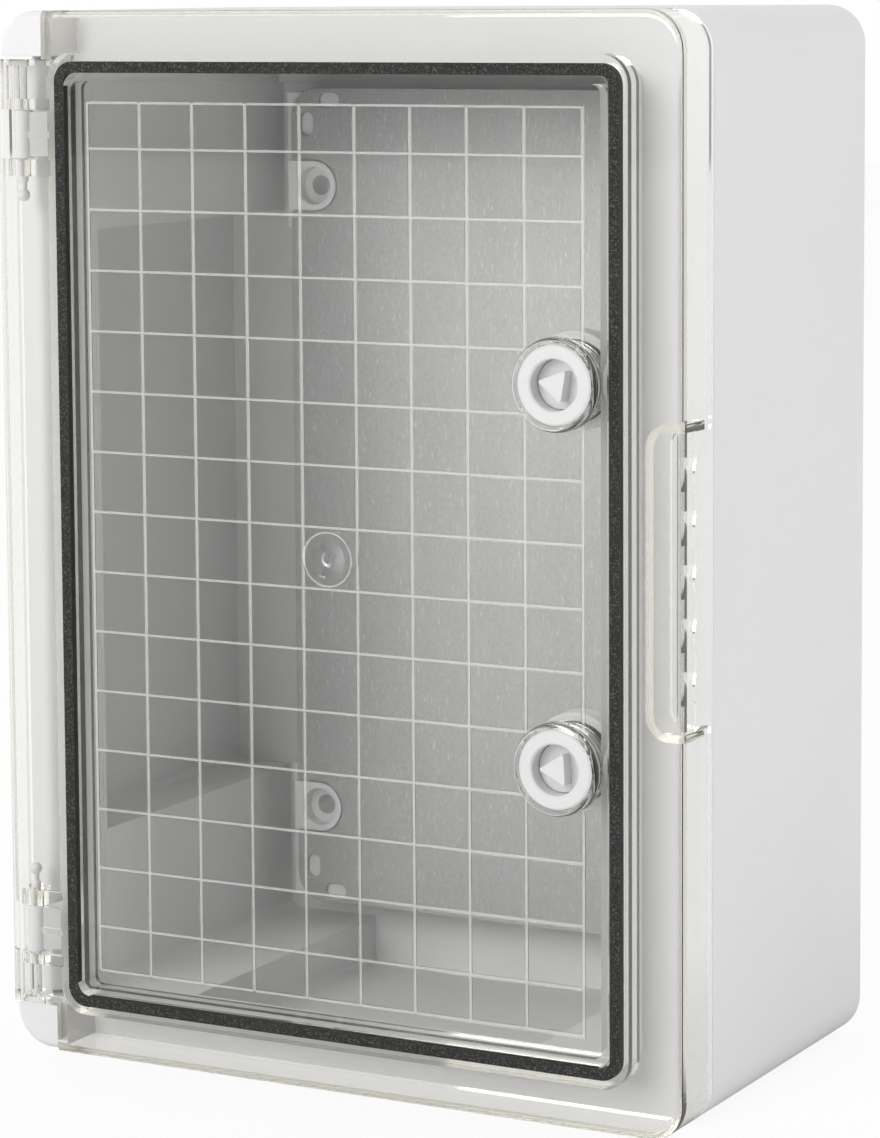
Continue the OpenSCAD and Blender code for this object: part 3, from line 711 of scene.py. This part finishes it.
class CABINET_OT_stage(bpy.types.Operator):
    """Sets the floor, the light and the camera"""

    bl_idname = "cabinet.stage"
    bl_label = "Stage"

    def execute(self, context):
        stage = context.scene.cabinet_stage
        make_floor(stage)
        make_light(context, stage)
        make_camera(context)
        context.scene.view_settings.view_transform = "Standard"
        return {"FINISHED"}


# stage

# towards the unlit part of the room, left of the front, and where it starts on the floor
UNLIT = (-0.475, -0.872, -0.11)
UNLIT_START = (0.24, 0.29, 0)
# the cosines to that direction between which the unlit part fades in
UNLIT_FLOOR = (0.9, 0.97)
UNLIT_ROOM = (0.88, 0.97)
# how white the lit floor and the lit room look in gloss, and the unlit floor through glass
FLOOR_GLOSS = 0.7
ROOM_GLOSS = 0.75
UNLIT_GLASS = 0.85

# towards the light back of the room, and where its light fades towards the front
LIGHT_BACK = (-0.4, 0.917, 0)
LIGHT_FADE = (-0.8, -0.2)

FLOOR_HALF = 6.0
FLOOR_GAP = 0.2 * MM
# how much of the floor's white the camera sees, so that the object's shadow stays
FLOOR_WHITE = 0.9
# the same through glass beside the object, and the distances over which it grows to all
FLOOR_BESIDE = 0.45
FLOOR_REACH = (0.15, 0.4)

LAMP_TARGET = (0, -0.08, 0)
KEY_PLACE, KEY_SIZE = (-0.44, -2.18, 0.86), 1.2
SIDE_PLACE, SIDE_SIZE = (1.7, -0.1, 0.6), 1.0

# the photograph's frame, its focal length and the middle of its perspective, in pixels
PHOTO_WIDTH, PHOTO_HEIGHT = 880, 1138
PHOTO_FOCAL = 3828.4
PHOTO_MIDDLE = (400, 400)
CAMERA_PLACE = (0.6028, -1.2007, 0.182)
CAMERA_YAW, CAMERA_PITCH, CAMERA_ROLL = 28.72, 6.164, 0.421
SENSOR = 36


def seen_white(tree, camera, glass, gloss):
    """How white a surface of the stage looks: the largest of its shares for rays from the
    camera, through glass and from gloss. A share is a number or a socket."""
    path = tree.nodes.new("ShaderNodeLightPath")
    total = None
    shares = (("Is Camera Ray", camera), ("Is Transmission Ray", glass), ("Is Glossy Ray", gloss))
    for ray, share in shares:
        part = add(tree, "ShaderNodeMath", operation="MULTIPLY")
        link(tree, path.outputs[ray], part.inputs[0])
        if isinstance(share, float):
            part.inputs[1].default_value = share
        else:
            link(tree, share, part.inputs[1])
        if total is not None:
            larger = add(tree, "ShaderNodeMath", operation="MAXIMUM")
            link(tree, total, larger.inputs[0])
            link(tree, part.outputs[0], larger.inputs[1])
            part = larger
        total = part.outputs[0]
    return total


def fade(tree, source, low, high, low_value, high_value):
    """A smooth step from one value at low to another at high."""
    node = tree.nodes.new("ShaderNodeMapRange")
    node.interpolation_type = "SMOOTHSTEP"
    values = {"From Min": low, "From Max": high, "To Min": low_value, "To Max": high_value}
    for key, value in values.items():
        node.inputs[key].default_value = value
    link(tree, source, node.inputs["Value"])
    return node.outputs[0]


def make_floor(stage):
    """A wide pale floor under the bottom face."""
    u = np.linspace(-FLOOR_HALF, FLOOR_HALF, 9)
    x, y = np.meshgrid(u, u, indexing="ij")
    points = np.stack([x, y, np.full_like(x, SHELL_LOW[2] - FLOOR_GAP)], axis=-1)
    floor = surface("floor", points)
    material, tree, shader, output = new_material("Pale floor")
    noise = add(tree, "ShaderNodeTexNoise", Scale=3.0, Detail=2.0)
    place = add(tree, "ShaderNodeTexCoord").outputs["Object"]
    link(tree, place, noise.inputs["Vector"])
    soft = ramp(tree, noise.outputs["Fac"], [(0.3, 0.5), (0.7, 0.6)])
    link(tree, soft, shader.inputs["Roughness"])
    shader.inputs["Base Color"].default_value = opaque(stage.floor)
    # gloss and glass show the pale floor, but for its part towards the unlit front of the room
    split = tree.nodes.new("ShaderNodeSeparateXYZ")
    link(tree, place, split.inputs[0])
    flat = add(tree, "ShaderNodeCombineXYZ")
    link(tree, split.outputs["X"], flat.inputs["X"])
    link(tree, split.outputs["Y"], flat.inputs["Y"])
    reach = add(tree, "ShaderNodeVectorMath", operation="DISTANCE")
    link(tree, flat.outputs[0], reach.inputs[0])
    reach.inputs[1].default_value = (0, DOOR_LOW[1] / 2, 0)
    share = fade(tree, reach.outputs["Value"], *FLOOR_REACH, FLOOR_BESIDE, 1.0)
    heading = add(tree, "ShaderNodeVectorMath", operation="NORMALIZE")
    aside = add(tree, "ShaderNodeVectorMath", operation="SUBTRACT")
    link(tree, flat.outputs[0], aside.inputs[0])
    aside.inputs[1].default_value = UNLIT_START
    link(tree, aside.outputs[0], heading.inputs[0])
    unlit = add(tree, "ShaderNodeVectorMath", operation="DOT_PRODUCT")
    link(tree, heading.outputs[0], unlit.inputs[0])
    unlit.inputs[1].default_value = UNLIT
    gloss = fade(tree, unlit.outputs["Value"], *UNLIT_FLOOR, FLOOR_GLOSS, stage.front)
    glass = fade(tree, unlit.outputs["Value"], *UNLIT_FLOOR, 1.0, UNLIT_GLASS)
    light = tree.nodes.new("ShaderNodeEmission")
    link(tree, seen_white(tree, 1.0, glass, gloss), light.inputs["Strength"])
    mix = tree.nodes.new("ShaderNodeMixShader")
    link(tree, seen_white(tree, FLOOR_WHITE, share, 1.0), mix.inputs[0])
    link(tree, shader.outputs[0], mix.inputs[1])
    link(tree, light.outputs[0], mix.inputs[2])
    link(tree, mix.outputs[0], output.inputs["Surface"])
    floor.data.materials.append(material)


def lamp(name, place, target, size, power):
    """A soft square lamp that looks at a target."""
    data = bpy.data.lights.new(name, "AREA")
    data.size = size
    data.energy = power
    lamp_object = bpy.data.objects.new(name, data)
    lamp_object.location = place
    aim = Vector(target) - Vector(place)
    lamp_object.rotation_euler = aim.to_track_quat("-Z", "Y").to_euler()
    bpy.context.scene.collection.objects.link(lamp_object)


def make_light(context, stage):
    """Even pale light all round, a large key lamp and a weaker side lamp."""
    world = bpy.data.worlds.new("Studio")
    context.scene.world = world
    world.use_nodes = True
    tree = world.node_tree
    tree.nodes.clear()
    # the front of the room gives less light, and gloss on the door shows its unlit part
    place = add(tree, "ShaderNodeTexCoord").outputs["Generated"]
    back = add(tree, "ShaderNodeVectorMath", operation="DOT_PRODUCT")
    link(tree, place, back.inputs[0])
    back.inputs[1].default_value = LIGHT_BACK
    room = add(tree, "ShaderNodeBackground", Color=(1, 1, 1, 1))
    level = fade(tree, back.outputs["Value"], *LIGHT_FADE, stage.front, stage.world)
    link(tree, level, room.inputs["Strength"])
    unlit = add(tree, "ShaderNodeVectorMath", operation="DOT_PRODUCT")
    link(tree, place, unlit.inputs[0])
    unlit.inputs[1].default_value = UNLIT
    seen = add(tree, "ShaderNodeBackground", Color=(1, 1, 1, 1))
    shade = fade(tree, unlit.outputs["Value"], *UNLIT_ROOM, 1.0, stage.front)
    gloss = fade(tree, unlit.outputs["Value"], *UNLIT_ROOM, ROOM_GLOSS, stage.front)
    link(tree, seen_white(tree, 1.0, shade, gloss), seen.inputs["Strength"])
    mix = tree.nodes.new("ShaderNodeMixShader")
    output = tree.nodes.new("ShaderNodeOutputWorld")
    link(tree, seen_white(tree, 1.0, 1.0, 1.0), mix.inputs[0])
    link(tree, room.outputs[0], mix.inputs[1])
    link(tree, seen.outputs[0], mix.inputs[2])
    link(tree, mix.outputs[0], output.inputs["Surface"])
    lamp("key lamp", KEY_PLACE, LAMP_TARGET, KEY_SIZE, stage.key)
    lamp("side lamp", SIDE_PLACE, LAMP_TARGET, SIDE_SIZE, stage.fill)


def make_camera(context):
    """The camera of the photograph: its place, its turn and the small shift of its frame."""
    yaw, pitch, roll = np.radians([CAMERA_YAW, CAMERA_PITCH, CAMERA_ROLL])
    ahead = Vector((-math.sin(yaw), math.cos(yaw), 0))
    right = Vector((math.cos(yaw), math.sin(yaw), 0))
    up = Vector((0, 0, 1))
    forward = ahead * math.cos(pitch) - up * math.sin(pitch)
    over = up * math.cos(pitch) + ahead * math.sin(pitch)
    x_axis = right * math.cos(roll) - over * math.sin(roll)
    y_axis = right * math.sin(roll) + over * math.cos(roll)
    turn = Matrix((x_axis, y_axis, -forward)).transposed().to_4x4()
    data = bpy.data.cameras.new("photo camera")
    data.sensor_width = SENSOR
    data.lens = PHOTO_FOCAL / PHOTO_HEIGHT * SENSOR
    data.shift_x = (PHOTO_WIDTH / 2 - PHOTO_MIDDLE[0]) / PHOTO_HEIGHT
    data.shift_y = (PHOTO_MIDDLE[1] - PHOTO_HEIGHT / 2) / PHOTO_HEIGHT
    data.clip_end = 50
    camera = bpy.data.objects.new("photo camera", data)
    camera.matrix_world = Matrix.Translation(CAMERA_PLACE) @ turn
    context.scene.collection.objects.link(camera)
    context.scene.camera = camera


PIECES = (
    CABINET_OT_shell,
    CABINET_OT_plate,
    CABINET_OT_door,
    CABINET_OT_seal,
    CABINET_OT_locks,
    CABINET_OT_hinges,
    CABINET_OT_stage,
)
GROUPS = (CabinetColours, CabinetSizes, CabinetStage)


class CABINET_PT_sidebar(bpy.types.Panel):
    """Lists the pieces and their sizes and colours"""

    bl_label = "Control cabinet"
    bl_idname = "CABINET_PT_sidebar"
    bl_space_type = "VIEW_3D"
    bl_region_type = "UI"
    bl_category = "Cabinet"

    def draw(self, context):
        scene = context.scene
        for group in (scene.cabinet_sizes, scene.cabinet_colours, scene.cabinet_stage):
            box = self.layout.box()
            for key in group.__annotations__:
                box.prop(group, key)
        for operator in PIECES:
            self.layout.operator(operator.bl_idname)


def register():
    for kind in (*GROUPS, *PIECES, CABINET_PT_sidebar):
        bpy.utils.register_class(kind)
    bpy.types.Scene.cabinet_colours = PointerProperty(type=CabinetColours)
    bpy.types.Scene.cabinet_sizes = PointerProperty(type=CabinetSizes)
    bpy.types.Scene.cabinet_stage = PointerProperty(type=CabinetStage)


def unregister():
    del bpy.types.Scene.cabinet_stage
    del bpy.types.Scene.cabinet_sizes
    del bpy.types.Scene.cabinet_colours
    for kind in reversed((*GROUPS, *PIECES, CABINET_PT_sidebar)):
        bpy.utils.unregister_class(kind)


def main():
    register()
    bpy.ops.cabinet.shell()
    bpy.ops.cabinet.plate()
    bpy.ops.cabinet.door()
    bpy.ops.cabinet.seal()
    bpy.ops.cabinet.locks()
    bpy.ops.cabinet.hinges()
    bpy.ops.cabinet.stage()


if __name__ == "__main__":
    main()
